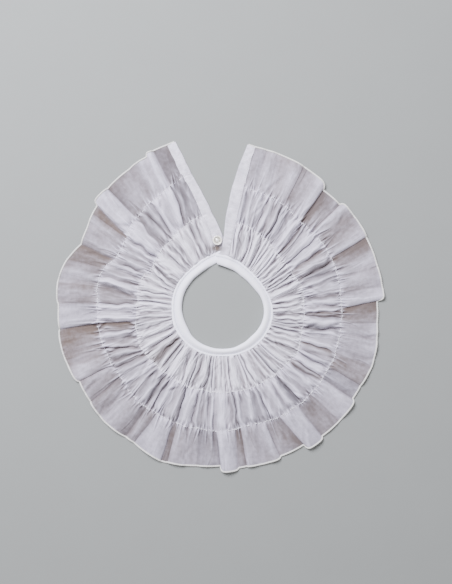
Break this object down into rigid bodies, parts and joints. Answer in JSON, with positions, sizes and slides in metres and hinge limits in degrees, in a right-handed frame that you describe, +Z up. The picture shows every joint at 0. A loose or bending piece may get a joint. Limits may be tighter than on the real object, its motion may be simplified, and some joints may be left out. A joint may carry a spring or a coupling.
{
  "type": "ruff collar",
  "caption": "Gathered ruff collar of sheer cotton, a bound neck and shirred tiers, laid flat, its ends lapped and buttoned at the neck.",
  "frame": {"origin": "middle of the collar's bounding box, on the surface that it lies on", "axes": "+Z up from the surface, out through the neck; +Y from the neck towards the gap between the two ends; +X towards the end that lies on top at the neck"},
  "size_m": [0.4272, 0.4318, 0.0132],
  "materials": {
    "voile": "semi-sheer plain weave, matte",
    "hem_thread": "overlocked thread",
    "binding": "close plain weave, matte",
    "pearl": "pearl, polished",
    "loop_thread": "twisted thread"
  },
  "bodies": {
    "root": {"ruffle_inner_tier": "voile", "ruffle_middle_tier": "voile", "ruffle_outer_tier": "voile", "placket_right": "voile", "placket_left": "voile", "rolled_hem": "hem_thread", "neck_binding": "binding", "button": "pearl", "button_loop": "loop_thread"}
  },
  "joints": []
}
